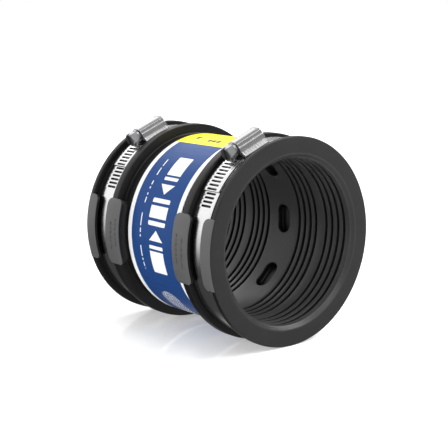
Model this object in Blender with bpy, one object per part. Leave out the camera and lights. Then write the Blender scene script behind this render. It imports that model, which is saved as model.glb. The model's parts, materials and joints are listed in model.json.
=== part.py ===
"""A flexible drain-pipe coupling: a flanged rubber sleeve, a wrap label and two worm-drive band clamps.

Frame: +X runs along the bore towards the front end, +Z is up, and the origin is the bore's centre.
A clamp is modelled in its own frame, with X along the bore, Z outwards through the screw housing and
Y along the screw, and the screw's head at -Y. An empty at each groove turns it into place.
"""

from math import cos, pi, radians, sin, sqrt

import bmesh
import bpy
from mathutils import Matrix, Vector

# Sleeve
SLEEVE_LENGTH = 0.118
FLANGE_RADIUS = 0.060
BORE_RADIUS = 0.048
MOUTH_RADIUS = 0.0498
LEAD_IN_LENGTH = 0.003
FACE_ROUNDING = 0.0007
EDGE_CHAMFER = 0.0006
OUTER_FLANGE_INSIDE = 0.0555
GROOVE_INSIDE = 0.0362
INNER_FLANGE_INSIDE = 0.0306
SEAT_RADIUS = 0.0559
BARREL_RADIUS = 0.0541
SLEEVE_SEGMENTS = 72

# Pockets in the middle of the bore, long way round the bore
POCKET_COUNT = 8
POCKET_LENGTH = 0.0173
POCKET_WIDTH = 0.010
POCKET_FLOOR = 0.0520
POCKET_END_STEPS = 6

# Tabs that keep each band in its groove
TAB_PROUD = 0.00025
TAB_HALF_ANGLE = radians(19.3)
TAB_CORNER_RADIUS = 0.004
TAB_CORNER_PULL = 0.0032
TAB_LIP_UNDERSIDE = 0.0585
TAB_ROOT_BITE = 0.001
INNER_TAB_SPAN = (0.0253, 0.0394)
OUTER_TAB_SPAN = (0.0500, 0.0588)
TAB_STATIONS = 11

# Label
LABEL_WIDTH = 0.0466
LABEL_THICKNESS = 0.0004

# Clamps
TOUCH_GAP = 0.0003
CLAMP_CENTRE = 0.0446
CLAMP_TILT = radians(22.4)
BAND_WIDTH = 0.0134
BAND_THICKNESS = 0.0007
BAND_RADIUS = SEAT_RADIUS + TOUCH_GAP
TAIL_RADIUS = BAND_RADIUS + BAND_THICKNESS + TOUCH_GAP
SLOT_PITCH = radians(2.46)
SLOT_ANGLE_WIDTH = radians(1.0)
SLOT_LENGTH = 0.0078
TAIL_SLOTS = range(-13, 14)
TAIL_ROOT = radians(-47.4)
TAIL_END_MARGIN = radians(1.0)
BAND_SLOTS = range(5, 18)
BAND_STEP = radians(4.0)
REAR_TAIL_TURNS = -2

# Saddle and housing
SADDLE_WIDTH = 0.0158
SADDLE_START = radians(-14.0)
SADDLE_END = radians(11.0)
HOUSING_NEAR = -0.0085
HOUSING_FAR = 0.0100
HOUSING_END_WALL = 0.0007
HOUSING_WALL_RAMP = 0.0003
HOUSING_HALF_WIDTH = 0.0079
HOUSING_INSIDE_HALF_WIDTH = 0.0072
HOUSING_ARCH_RADIUS = 0.0044
HOUSING_INSIDE_RADIUS = 0.0038
HOUSING_FOOT = TAIL_RADIUS
SHOULDER_LOW = 0.0591
SHOULDER_TOP = (0.0054, 0.0608)
INSIDE_SHOULDER_LOW = 0.0586
INSIDE_SHOULDER_TOP = (0.0046, 0.0603)
NECK_HOLE_LOW = (0.0025, 0.0590)
HOUSING_STATIONS = 5
ARCH_STEPS = 10

# Worm screw
SCREW_HEIGHT = 0.0617
THREAD_CREST = 0.0034
THREAD_ROOT = 0.0026
THREAD_CREST_END = 0.16
THREAD_ROOT_START = 0.36
THREAD_NEAR = -0.0070
THREAD_FAR = 0.0087
NECK_RADIUS = 0.0022
NECK_HOLE_RADIUS = 0.0025
TIP_FAR = 0.0105
COLLAR_RADIUS = 0.0041
COLLAR_NEAR = -0.0106
COLLAR_FAR = -0.0089
HEX_ACROSS_FLATS = 0.0076
HEX_NEAR = -0.0152
HEX_CHAMFER = 0.0006
DRIVER_SLOT_WIDTH = 0.0012
DRIVER_SLOT_DEPTH = 0.0016
SCREW_SEGMENTS = 12
ROWS_PER_TURN = 5

SHARP_ANGLE = radians(28)


def clear_scene():
    for obj in list(bpy.data.objects):
        bpy.data.objects.remove(obj, do_unlink=True)


def make_material(name, colour, roughness, metallic):
    material = bpy.data.materials.new(name)
    material.use_nodes = True
    shader = material.node_tree.nodes["Principled BSDF"]
    shader.inputs["Base Color"].default_value = (*colour, 1.0)
    shader.inputs["Roughness"].default_value = roughness
    shader.inputs["Metallic"].default_value = metallic
    material.diffuse_color = (*colour, 1.0)
    return material


def make_mesh(name, points, faces, material):
    """A mesh whose faces are turned to point outwards."""
    mesh = bpy.data.meshes.new(name)
    mesh.from_pydata([tuple(p) for p in points], [], faces)
    mesh.materials.append(material)
    shape = bmesh.new()
    shape.from_mesh(mesh)
    bmesh.ops.recalc_face_normals(shape, faces=shape.faces)
    shape.to_mesh(mesh)
    shape.free()
    mesh.shade_smooth()
    mesh.set_sharp_from_angle(angle=SHARP_ANGLE)
    return mesh


def add_object(name, mesh, parent=None, location=(0, 0, 0), turn_about_x=0.0):
    obj = bpy.data.objects.new(name, mesh)
    bpy.context.scene.collection.objects.link(obj)
    obj.parent = parent
    obj.location = location
    obj.rotation_euler = (turn_about_x, 0, 0)
    return obj


def add_helper(name, mesh):
    """A solid that only cuts or joins others, so it isn't part of the object."""
    helper = add_object(name, mesh)
    helper.hide_render = True
    helper.display_type = "WIRE"
    return helper


def add_boolean(obj, helper, operation):
    modifier = obj.modifiers.new(helper.name, "BOOLEAN")
    modifier.operation = operation
    modifier.solver = "EXACT"
    modifier.object = helper


def around(x, radius, angle):
    """The point at a radius and an angle about X, measured from +Z towards -Y."""
    return Vector((x, -radius * sin(angle), radius * cos(angle)))


def turned_ring(profile, segments):
    """The closed outline in (x, radius), turned all the way round X."""
    points = [
        around(x, radius, 2 * pi * turn / segments)
        for turn in range(segments)
        for x, radius in profile
    ]
    count = len(profile)
    faces = []
    for turn in range(segments):
        here = turn * count
        there = (turn + 1) % segments * count
        for i in range(count):
            j = (i + 1) % count
            faces.append((here + i, here + j, there + j, there + i))
    return points, faces


def lofted(sections):
    """One solid through sections that have the same number of points, closed by its end sections."""
    count = len(sections[0])
    points = [point for section in sections for point in section]
    faces = [tuple(range(count))]
    for k in range(len(sections) - 1):
        for i in range(count):
            j = (i + 1) % count
            here = k * count
            there = here + count
            faces.append((here + i, here + j, there + j, there + i))
    last = (len(sections) - 1) * count
    faces.append(tuple(range(last, last + count)))
    return points, faces


def joined(solids):
    """Several separate solids as the points and faces of one mesh."""
    points = []
    faces = []
    for solid_points, solid_faces in solids:
        start = len(points)
        points.extend(solid_points)
        faces.extend(tuple(start + i for i in face) for face in solid_faces)
    return points, faces


# Sleeve


def half_outline():
    """The sleeve's outside from the middle to the front mouth, as (x, radius) points."""
    face = SLEEVE_LENGTH / 2
    corner = FACE_ROUNDING * (1 - cos(pi / 4))
    return [
        (INNER_FLANGE_INSIDE, BARREL_RADIUS),
        (INNER_FLANGE_INSIDE, FLANGE_RADIUS - EDGE_CHAMFER),
        (INNER_FLANGE_INSIDE + EDGE_CHAMFER, FLANGE_RADIUS),
        (GROOVE_INSIDE - EDGE_CHAMFER, FLANGE_RADIUS),
        (GROOVE_INSIDE, FLANGE_RADIUS - EDGE_CHAMFER),
        (GROOVE_INSIDE, SEAT_RADIUS),
        (OUTER_FLANGE_INSIDE, SEAT_RADIUS),
        (OUTER_FLANGE_INSIDE, FLANGE_RADIUS - EDGE_CHAMFER),
        (OUTER_FLANGE_INSIDE + EDGE_CHAMFER, FLANGE_RADIUS),
        (face - FACE_ROUNDING, FLANGE_RADIUS),
        (face - corner, FLANGE_RADIUS - corner),
        (face, FLANGE_RADIUS - FACE_ROUNDING),
        (face, MOUTH_RADIUS),
        (face - LEAD_IN_LENGTH, BORE_RADIUS),
    ]


def tab_solid(span, end, side, on_inner_flange):
    """One retaining tab. span is its reach along X; end is 1 or -1 for the sleeve's front or rear half,
    and side is the angle about X of the tab's middle. Its lip hangs over the groove, clear of the band."""
    low, high = span
    top = FLANGE_RADIUS + TAB_PROUD
    root = BARREL_RADIUS - TAB_ROOT_BITE
    corner_angle = TAB_CORNER_RADIUS / FLANGE_RADIUS
    sections = []
    for k in range(TAB_STATIONS):
        angle = TAB_HALF_ANGLE * sin(pi * (k / (TAB_STATIONS - 1) - 0.5))
        into_corner = max(0.0, abs(angle) - (TAB_HALF_ANGLE - corner_angle)) / corner_angle
        pulled_in = TAB_CORNER_PULL * (1 - sqrt(max(0.0, 1 - into_corner**2)))
        if on_inner_flange:
            high_here = high - pulled_in
            block = [(low + pulled_in, root), (low + pulled_in, top), (high_here, top)]
            lip = [(high_here, TAB_LIP_UNDERSIDE), (GROOVE_INSIDE - TAB_ROOT_BITE, TAB_LIP_UNDERSIDE)]
            outline = block + lip + [(GROOVE_INSIDE - TAB_ROOT_BITE, root)]
        else:
            low_here = low + pulled_in
            block = [(high, root), (high, top), (low_here, top)]
            lip = [(low_here, TAB_LIP_UNDERSIDE), (OUTER_FLANGE_INSIDE + TAB_ROOT_BITE, TAB_LIP_UNDERSIDE)]
            outline = block + lip + [(OUTER_FLANGE_INSIDE + TAB_ROOT_BITE, root)]
        sections.append([around(end * x, radius, side + angle) for x, radius in outline])
    return lofted(sections)


def pocket_cutter(angle):
    """An upright slot-shaped block, whose outer end is the pocket's floor."""
    straight = (POCKET_LENGTH - POCKET_WIDTH) / 2
    outline = []
    for centre, first in ((straight, 0.0), (-straight, pi)):
        for k in range(POCKET_END_STEPS + 1):
            turn = first + pi * k / POCKET_END_STEPS
            outline.append((POCKET_WIDTH / 2 * cos(turn), centre + POCKET_WIDTH / 2 * sin(turn)))
    place = Matrix.Rotation(angle, 3, "X")
    sections = []
    for height in (BORE_RADIUS - POCKET_WIDTH / 2, POCKET_FLOOR):
        sections.append([place @ Vector((x, y, height)) for x, y in outline])
    return lofted(sections)


def build_sleeve(rubber):
    front = half_outline()
    rear = [(-x, radius) for x, radius in reversed(front)]
    mesh = make_mesh("sleeve", *turned_ring(front + rear, SLEEVE_SEGMENTS), rubber)
    sleeve = add_object("sleeve", mesh)
    tabs = []
    for side in (pi / 2, -pi / 2):
        for end in (1, -1):
            tabs.append(tab_solid(INNER_TAB_SPAN, end, side, on_inner_flange=True))
            tabs.append(tab_solid(OUTER_TAB_SPAN, end, side, on_inner_flange=False))
    tab_helper = add_helper("tabs_to_join", make_mesh("tabs_to_join", *joined(tabs), rubber))
    pockets = [pocket_cutter(pi / 2 + 2 * pi * k / POCKET_COUNT) for k in range(POCKET_COUNT)]
    pocket_helper = add_helper("pockets_to_cut", make_mesh("pockets_to_cut", *joined(pockets), rubber))
    add_boolean(sleeve, tab_helper, "UNION")
    add_boolean(sleeve, pocket_helper, "DIFFERENCE")


def build_label(print_film):
    inner = BARREL_RADIUS + TOUCH_GAP
    outer = inner + LABEL_THICKNESS
    half = LABEL_WIDTH / 2
    profile = [(-half, inner), (-half, outer), (half, outer), (half, inner)]
    add_object("label", make_mesh("label", *turned_ring(profile, SLEEVE_SEGMENTS), print_film))


# Clamps


def curved_strip(radius, width, stops, slotted):
    """A flat strip bent round X, with its inside at a radius. It has a cell between each two stops, and the
    cells that slotted names have a slot through their middle."""
    edges = [-width / 2, -SLOT_LENGTH / 2, SLOT_LENGTH / 2, width / 2]
    layers = (radius, radius + BAND_THICKNESS)
    points = [around(x, layer, stop) for layer in layers for stop in stops for x in edges]
    columns = len(edges)

    def index(layer, stop, column):
        return (layer * len(stops) + stop) * columns + column

    def solid(cell, column):
        inside = 0 <= cell < len(stops) - 1 and 0 <= column < columns - 1
        return inside and not (column == 1 and cell in slotted)

    faces = []
    for cell in range(len(stops) - 1):
        for column in range(columns - 1):
            if not solid(cell, column):
                continue
            corners = [(cell, column), (cell + 1, column), (cell + 1, column + 1), (cell, column + 1)]
            neighbours = [(cell, column - 1), (cell + 1, column), (cell, column + 1), (cell - 1, column)]
            for layer in (0, 1):
                faces.append(tuple(index(layer, *corner) for corner in corners))
            for side, neighbour in enumerate(neighbours):
                if not solid(*neighbour):
                    a, b = corners[side], corners[(side + 1) % 4]
                    faces.append((index(0, *a), index(0, *b), index(1, *b), index(1, *a)))
    used = sorted({i for face in faces for i in face})
    renumbered = {old: new for new, old in enumerate(used)}
    return [points[i] for i in used], [tuple(renumbered[i] for i in face) for face in faces]


def stops_with_slots(start, end, slots):
    """The angles of a strip's cell edges, and which cells are slots."""
    slot_edges = []
    for k in slots:
        slot_edges.append(k * SLOT_PITCH - SLOT_ANGLE_WIDTH / 2)
        slot_edges.append(k * SLOT_PITCH + SLOT_ANGLE_WIDTH / 2)
    lead = plain_stops(start, slot_edges[0])
    run_out = plain_stops(slot_edges[-1], end)
    stops = lead + slot_edges[1:-1] + run_out
    first_slot = len(lead) - 1
    slotted = {first_slot + 2 * k for k in range(len(slots))}
    return stops, slotted


def plain_stops(start, end):
    count = max(1, round((end - start) / BAND_STEP))
    return [start + (end - start) * k / count for k in range(count + 1)]


def band_mesh(steel):
    """The band from the saddle all the way round to the saddle, under the tail."""
    gap_angle = TOUCH_GAP / BAND_RADIUS
    stops, slotted = stops_with_slots(SADDLE_END + gap_angle, 2 * pi + SADDLE_START - gap_angle, BAND_SLOTS)
    return make_mesh("band", *curved_strip(BAND_RADIUS, BAND_WIDTH, stops, slotted), steel)


def tail_mesh(steel):
    """The band's slotted free end, from its lap behind the housing to its tip."""
    tip = TAIL_SLOTS[-1] * SLOT_PITCH + TAIL_END_MARGIN
    stops, slotted = stops_with_slots(TAIL_ROOT, tip, TAIL_SLOTS)
    return make_mesh("band_tail", *curved_strip(TAIL_RADIUS, BAND_WIDTH, stops, slotted), steel)


def saddle_mesh(steel):
    stops = plain_stops(SADDLE_START, SADDLE_END)
    return make_mesh("saddle", *curved_strip(BAND_RADIUS, SADDLE_WIDTH, stops, set()), steel)


def arch(radius):
    """Points of a half-round arch over the screw, from its +X side to its -X side."""
    points = []
    for k in range(ARCH_STEPS + 1):
        angle = pi * k / ARCH_STEPS
        points.append((radius * cos(angle), SCREW_HEIGHT + radius * sin(angle)))
    return points


def path_over(side, top):
    """A path over the screw: up the +X side, over the top, and down the mirrored side."""
    return side + top + [(-x, z) for x, z in reversed(side)]


def housing_section(y, inside_radius, inside_shoulder_top):
    """The closed outline of the housing at y along the screw. Its feet follow the round saddle."""
    foot = sqrt(HOUSING_FOOT**2 - y**2)
    outside = [(HOUSING_HALF_WIDTH, foot), (HOUSING_HALF_WIDTH, SHOULDER_LOW), SHOULDER_TOP]
    inside_low = (HOUSING_INSIDE_HALF_WIDTH, INSIDE_SHOULDER_LOW)
    inside = [(HOUSING_INSIDE_HALF_WIDTH, foot), inside_low, inside_shoulder_top]
    outer_path = path_over(outside, arch(HOUSING_ARCH_RADIUS))
    inner_path = path_over(inside, arch(inside_radius))
    return [Vector((x, y, z)) for x, z in outer_path + inner_path[::-1]]


def housing_mesh(steel):
    """A stamped tunnel over the worm, nearly closed at both ends round the screw's neck and tip."""
    wall = (NECK_HOLE_RADIUS, NECK_HOLE_LOW)
    tunnel = (HOUSING_INSIDE_RADIUS, INSIDE_SHOULDER_TOP)
    near_inside = HOUSING_NEAR + HOUSING_END_WALL
    far_inside = HOUSING_FAR - HOUSING_END_WALL
    sections = [housing_section(HOUSING_NEAR, *wall), housing_section(near_inside, *wall)]
    first = near_inside + HOUSING_WALL_RAMP
    last = far_inside - HOUSING_WALL_RAMP
    for k in range(HOUSING_STATIONS):
        y = first + (last - first) * k / (HOUSING_STATIONS - 1)
        sections.append(housing_section(y, *tunnel))
    sections.append(housing_section(far_inside, *wall))
    sections.append(housing_section(HOUSING_FAR, *wall))
    return make_mesh("housing", *lofted(sections), steel)


def screw_ring(y, radius_at):
    """A ring about the screw's own axis, at y along it. radius_at gives the radius at each turn of it."""
    points = []
    for k in range(SCREW_SEGMENTS):
        turn = 2 * pi * k / SCREW_SEGMENTS
        radius = radius_at(turn)
        points.append(Vector((radius * cos(turn), y, radius * sin(turn))))
    return points


def thread_radius(y, turn, pitch):
    """A right-handed thread, whose crests pass over the slots at the strip's side of the screw. The flanks
    run between the two stated parts of a pitch, counted from the middle of a crest."""
    crest_distance = (y / pitch + (turn + pi / 2) / (2 * pi)) % 1.0
    from_crest = min(crest_distance, 1 - crest_distance)
    height = min(1.0, max(0.0, (THREAD_ROOT_START - from_crest) / (THREAD_ROOT_START - THREAD_CREST_END)))
    return THREAD_ROOT + (THREAD_CREST - THREAD_ROOT) * height


def hex_radius(turn, across_flats):
    """The distance from the middle of a hexagon to its edge."""
    return across_flats / 2 / cos((turn % (pi / 3)) - pi / 6)


def screw_mesh(steel):
    pitch = SLOT_PITCH * (TAIL_RADIUS + BAND_THICKNESS / 2)
    rows = round((THREAD_FAR - THREAD_NEAR) / pitch * ROWS_PER_TURN)
    sections = [
        screw_ring(HEX_NEAR, lambda turn: hex_radius(turn, HEX_ACROSS_FLATS) - HEX_CHAMFER),
        screw_ring(HEX_NEAR + HEX_CHAMFER, lambda turn: hex_radius(turn, HEX_ACROSS_FLATS)),
        screw_ring(COLLAR_NEAR, lambda turn: hex_radius(turn, HEX_ACROSS_FLATS)),
        screw_ring(COLLAR_NEAR, lambda turn: COLLAR_RADIUS),
        screw_ring(COLLAR_FAR, lambda turn: COLLAR_RADIUS),
        screw_ring(COLLAR_FAR, lambda turn: NECK_RADIUS),
        screw_ring(THREAD_NEAR, lambda turn: NECK_RADIUS),
    ]
    for row in range(rows + 1):
        y = THREAD_NEAR + (THREAD_FAR - THREAD_NEAR) * row / rows
        sections.append(screw_ring(y, lambda turn, y=y: thread_radius(y, turn, pitch)))
    sections.append(screw_ring(THREAD_FAR, lambda turn: NECK_RADIUS))
    sections.append(screw_ring(TIP_FAR, lambda turn: NECK_RADIUS))
    return make_mesh("worm_screw", *lofted(sections), steel)


def driver_slot_mesh(steel):
    """A block that cuts the screwdriver slot across the head, in the screw's own frame."""
    half = DRIVER_SLOT_WIDTH / 2
    reach = HEX_ACROSS_FLATS
    floor = HEX_NEAR + DRIVER_SLOT_DEPTH
    outline = [(-half, -reach), (half, -reach), (half, reach), (-half, reach)]
    sections = [[Vector((x, y, z)) for x, z in outline] for y in (HEX_NEAR - reach, floor)]
    return make_mesh("driver_slot", *lofted(sections), steel)


def build_clamp(name, x, tail_turns, meshes):
    axis = bpy.data.objects.new(name + "_axis", None)
    bpy.context.scene.collection.objects.link(axis)
    axis.location = (x, 0, 0)
    axis.rotation_euler = (CLAMP_TILT, 0, 0)
    add_object(name + "_band", meshes["band"], axis)
    add_object(name + "_band_tail", meshes["tail"], axis, turn_about_x=tail_turns * SLOT_PITCH)
    add_object(name + "_saddle", meshes["saddle"], axis)
    add_object(name + "_housing", meshes["housing"], axis)
    screw = add_object(name + "_worm_screw", meshes["screw"], axis, location=(0, 0, SCREW_HEIGHT))
    cutter = add_helper(name + "_driver_slot_to_cut", meshes["driver_slot"])
    cutter.parent = screw
    add_boolean(screw, cutter, "DIFFERENCE")


def main():
    clear_scene()
    rubber = make_material("black_rubber", (0.045, 0.045, 0.047), 0.6, 0.0)
    print_film = make_material("label_film", (0.03, 0.08, 0.30), 0.35, 0.0)
    strip_steel = make_material("strip_steel", (0.80, 0.80, 0.80), 0.25, 1.0)
    stamped_steel = make_material("stamped_steel", (0.62, 0.62, 0.62), 0.30, 1.0)
    screw_steel = make_material("screw_steel", (0.50, 0.50, 0.51), 0.35, 1.0)
    build_sleeve(rubber)
    build_label(print_film)
    meshes = {
        "band": band_mesh(strip_steel),
        "tail": tail_mesh(strip_steel),
        "saddle": saddle_mesh(stamped_steel),
        "housing": housing_mesh(stamped_steel),
        "screw": screw_mesh(screw_steel),
        "driver_slot": driver_slot_mesh(screw_steel),
    }
    build_clamp("front", CLAMP_CENTRE, 0, meshes)
    build_clamp("rear", -CLAMP_CENTRE, REAR_TAIL_TURNS, meshes)


main()
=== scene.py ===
"""The looks of a flexible drain-pipe coupling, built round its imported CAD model.

Frame: +X runs along the bore towards the front end and +Z is up. An angle about X is measured from +Z
towards -Y, the side of the screw heads. Each clamp has its own frame, with the origin on the bore's axis,
Y along its screw, Z outwards through its housing, and the screw's head at -Y.
"""

import json
from math import asin, atan2, copysign, cos, pi, radians, sin, sqrt

import bmesh
import bpy
from mathutils import Matrix, Vector


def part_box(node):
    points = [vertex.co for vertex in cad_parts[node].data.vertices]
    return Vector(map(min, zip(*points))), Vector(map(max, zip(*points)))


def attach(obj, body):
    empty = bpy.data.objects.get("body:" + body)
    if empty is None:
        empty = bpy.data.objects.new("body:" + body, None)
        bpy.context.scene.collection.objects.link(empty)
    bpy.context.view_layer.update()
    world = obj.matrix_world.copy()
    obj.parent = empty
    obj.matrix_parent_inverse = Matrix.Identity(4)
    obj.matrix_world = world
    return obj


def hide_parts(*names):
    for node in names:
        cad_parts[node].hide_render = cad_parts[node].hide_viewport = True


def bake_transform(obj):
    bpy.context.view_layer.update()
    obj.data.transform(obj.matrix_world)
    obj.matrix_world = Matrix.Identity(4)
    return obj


# Camera
CAMERA_AZIMUTH = radians(49.96)
CAMERA_ELEVATION = radians(10.76)
CAMERA_DISTANCE = 0.6826
CAMERA_LENS = 91.45
CAMERA_AIM_RIGHT = -0.000834
CAMERA_AIM_UP = 0.00218

# Sleeve
SLEEVE_SEGMENTS = 240
ARC_STEPS = 4
BORE_RADIUS = 0.048
MOUTH_RADIUS = 0.0498
LEAD_IN_LENGTH = 0.0021
FACE_ROUNDING = 0.0007
MOUTH_ROUNDING = 0.0005
FLANGE_ROUNDING = 0.0007
ROOT_FILLET = 0.0008
OUTER_FLANGE_INSIDE = 0.0555
GROOVE_INSIDE = 0.0362
INNER_FLANGE_INSIDE = 0.0306
SEAT_RADIUS = 0.0559
BARREL_RADIUS = 0.0541
BARREL_STATIONS = (0.0, 0.012, 0.024)
BORE_MIDDLE_START = 0.0105
SEAL_GROOVES = (0.0520, 0.0471, 0.0421, 0.0372, 0.0285, 0.0237, 0.0189, 0.0141)
SEAL_GROOVE_WIDTH = 0.0022
SEAL_GROOVE_FLOOR = 0.0014
SEAL_GROOVE_DEPTH = 0.0018
SEAL_ROUNDING = 0.0002
# The rubber's own near-black, and a lighter grey that the shares below mix in on the end faces, the mouths'
# lead-ins, the bore's crests and the tabs' tops: partly wear and partly painted light, with a painted
# highlight on the lead-ins. The grooves and pockets keep the near-black as painted shade beside the lighter
# crests.
RUBBER_DARK = (0.006, 0.006, 0.006)
RUBBER_WORN_AND_LIT = (0.10, 0.10, 0.10)
RUBBER_FACE_START = 0.0587
RUBBER_MOUTH_START = 0.0565
FACE_SHARE = 0.13
CREST_SHARE = 0.42
MOUTH_SHARE = 0.26
TAB_SHARE = 0.90
CREST_REACH = 0.0003
MOUTH_REACH = 0.0010
TAB_REACH = 0.0002

# Pockets in the middle of the bore
POCKET_COUNT = 8
POCKET_LENGTH = 0.0173
POCKET_WIDTH = 0.0100
POCKET_DEPTH = 0.0040
POCKET_RIM_ROUNDING = 0.0006
POCKET_END_STEPS = 10

# Tabs
TAB_TOP = 0.06025
TAB_HALF_ANGLE = radians(19.3)
TAB_CORNER = 0.0040
TAB_ROUNDING = 0.0006
TAB_LIP_UNDERSIDE = 0.0585
TAB_ROOT = 0.0531
TAB_BITE = 0.0010
INNER_TAB_SPAN = (0.0253, 0.0394)
OUTER_TAB_SPAN = (0.0500, 0.0588)
MARK_HEIGHT = 0.00050

# Label
LABEL_SEGMENTS = 240
LABEL_LAP = radians(9)
LABEL_LAP_RISE = 0.00012
LABEL_STEPS_ACROSS = 8
LABEL_GAP = 0.0002

# Label print. Shapes are in millimetres: across is along X, and along is round the label, upwards from -Y.
# The repeat and the two starts are in degrees.
LABEL_BLUE = (0.010, 0.050, 0.190, 1)
LABEL_WHITE = (0.86, 0.86, 0.86, 1)
LABEL_YELLOW = (0.90, 0.83, 0.02, 1)
LABEL_BLACK = (0.02, 0.02, 0.02, 1)
LABEL_REPEAT = 180.0
LABEL_REPEAT_START = -75.0
LABEL_TURN_START = -150.0
LABEL_MM_PER_DEGREE = 0.956

# Strip
STRIP_THICKNESS = 0.0007
STRIP_EDGE = 0.00014
SLOT_WALL_REACH = 0.0041
SLOT_PITCH = radians(2.46)
SLOT_LENGTH = 0.0078
SLOT_WIDTH = 0.00125
LOOP_RADIUS = 0.0562
TAIL_RADIUS = 0.0572
LOOP_SLOTS = range(5, 18)
TAIL_SLOTS = range(-13, 14)
LOOP_START = radians(11.3)
SPLIT_ANGLE = radians(-150)
RISE_START = radians(-78)
RISE_END = radians(-41)
STRIP_STEP = radians(2.5)
REAR_TAIL_TURNS = -2

# Steels: dark and light colour, low and high roughness
STAMPED_STEEL = ((0.50, 0.50, 0.50), (0.60, 0.60, 0.60), 0.20, 0.32)
SCREW_STEEL = ((0.40, 0.40, 0.41), (0.50, 0.50, 0.51), 0.24, 0.36)
# The slot walls' steel: dark to paint the shade inside the slots, and rough like a punched edge.
SLOT_WALL_SHADE = ((0.05, 0.05, 0.05), (0.09, 0.09, 0.09), 0.45, 0.6)

# Saddle and housing
SADDLE_WIDTH = 0.0158
SADDLE_START = radians(-14.0)
SADDLE_END = radians(11.0)
SADDLE_CORNER = 0.0020
SADDLE_STEPS = 24
HOUSING_NEAR = -0.0085
HOUSING_FAR = 0.0100
HOUSING_SHEET = 0.0006
HOUSING_HALF_WIDTH = 0.0082
HOUSING_FOOT_RADIUS = 0.05698
HOUSING_ROUNDING = 0.0005
HOUSING_STEPS = 70
CREST_HEIGHT = 0.0661
CREST_STEPS = 12
CREST_EDGE = (0.0036, 0.0652)
FLUTE = ((0.0039, 0.0649), (0.00405, 0.0644), (0.0042, 0.0639), (0.00445, 0.0634), (0.0048, 0.0630))
CREASE = (0.0052, 0.0628)
SIDE_FOOT = (0.0058, 0.0607)
SHOULDER = ((0.0062, 0.0602), (0.0067, 0.05965), (0.0072, 0.0591), (0.0077, 0.0586), (0.0082, 0.0583))
NECK_HOLE_RADIUS = 0.0025
NECK_HOLE_LOW = 0.0590
NECK_SIDE_SHARE = 0.2
NECK_FOOT_SHARE = 0.04
FAR_LIP_LENGTH = 0.0013
FAR_LIP_RISE = 0.00035
FAR_LIP_SHAPE = ((0.0, 0.0), (0.16, 0.35), (0.3, 0.85), (0.42, 1.0), (0.85, 1.0), (0.95, 0.8), (1.0, 0.4))
RIB_PITCH = 0.0019
RIB_SPAN = (-0.0066, 0.0074)
RIB_HEIGHT = 0.00003
RIB_SHAPE = (0.0, 0.3, 0.9, 1.0, 0.4)

# Worm screw
SCREW_HEIGHT = 0.0617
SCREW_SEGMENTS = 72
THREAD_CREST = 0.0034
THREAD_ROOT = 0.0026
THREAD_NEAR = -0.0070
THREAD_FAR = 0.0087
THREAD_CREST_END = 0.14
THREAD_ROOT_START = 0.34
ROWS_PER_TURN = 14
NECK_RADIUS = 0.0022
TIP_FAR = 0.0105
COLLAR_RADIUS = 0.0041
COLLAR_NEAR = -0.0106
COLLAR_FAR = -0.0089
HEX_ACROSS_FLATS = 0.0076
HEX_NEAR = -0.0152
HEX_CHAMFER = 0.0007
DRIVER_SLOT_WIDTH = 0.0012
DRIVER_SLOT_DEPTH = 0.0016
SCREW_ROUNDING = 0.0003

# Floor and light. A wall light is (direction, dot product at its edge, at its core, strength), and a softbox
# is (name, place, size, power).
FLOOR_SIZE = 12.0
FLOOR_COLOUR = (0.93, 0.93, 0.93, 1)
FLOOR_ROUGHNESS = 0.10
FLOOR_GLOW = (0.35, 1.0)
FLOOR_GLOW_REACH = (0.22, 0.90)
ROOM_LIGHT = 0.37
WALL_LIGHTS = (
    ((-0.78, -0.35, 0.52), 0.62, 0.94, 0.72),
    ((-0.72, -0.25, -0.65), 0.80, 0.95, -0.32),
    ((-0.752, 0.317, 0.579), 0.90, 0.985, 1.2),
    ((0.187, 0.155, 0.971), 0.978, 0.996, 1.0),
    ((0.545, -0.193, 0.803), 0.93, 0.98, 2.5),
    ((0.187, 0.632, 0.752), 0.93, 0.985, 5.0),
)
SOFTBOXES = (
    ("overhead", (-0.1, 0.2, 0.9), (0.9, 0.9), 6.0),
    ("right", (0.28, 0.26, 0.18), (0.2, 0.2), 1.1),
    ("fill", (0.45, -0.40, 0.25), (0.3, 0.3), 0.9),
)


def around(x, radius, angle):
    """The point at a radius and an angle about X, measured from +Z towards -Y."""
    return Vector((x, -radius * sin(angle), radius * cos(angle)))


def arc(centre, radius, start, end, steps=ARC_STEPS):
    """Points on a circle, for a rounded corner of an outline. The angles are in degrees."""
    points = []
    for k in range(steps + 1):
        angle = radians(start + (end - start) * k / steps)
        points.append((centre[0] + radius * cos(angle), centre[1] + radius * sin(angle)))
    return points


def lofted(sections, closed_ends=True):
    """Points and faces of a tube through sections that have the same number of points."""
    count = len(sections[0])
    points = [point for section in sections for point in section]
    faces = []
    for k in range(len(sections) - 1):
        for i in range(count):
            j = (i + 1) % count
            here = k * count
            there = here + count
            faces.append((here + i, here + j, there + j, there + i))
    if closed_ends:
        last = (len(sections) - 1) * count
        faces.append(tuple(range(count)))
        faces.append(tuple(range(last, last + count)))
    return points, faces


def joined(solids):
    """Several separate solids as the points and faces of one mesh."""
    points = []
    faces = []
    for solid_points, solid_faces in solids:
        start = len(points)
        points.extend(solid_points)
        faces.extend(tuple(start + i for i in face) for face in solid_faces)
    return points, faces


def add_object(name, points, faces, sharp_degrees=35):
    """A smooth-shaded mesh object whose faces point outwards."""
    mesh = bpy.data.meshes.new(name)
    mesh.from_pydata([tuple(p) for p in points], [], faces)
    shape = bmesh.new()
    shape.from_mesh(mesh)
    bmesh.ops.recalc_face_normals(shape, faces=shape.faces)
    shape.to_mesh(mesh)
    shape.free()
    smooth(mesh, sharp_degrees)
    obj = bpy.data.objects.new(name, mesh)
    bpy.context.scene.collection.objects.link(obj)
    return obj


def smooth(mesh, sharp_degrees):
    mesh.shade_smooth()
    mesh.set_sharp_from_angle(angle=radians(sharp_degrees))


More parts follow.
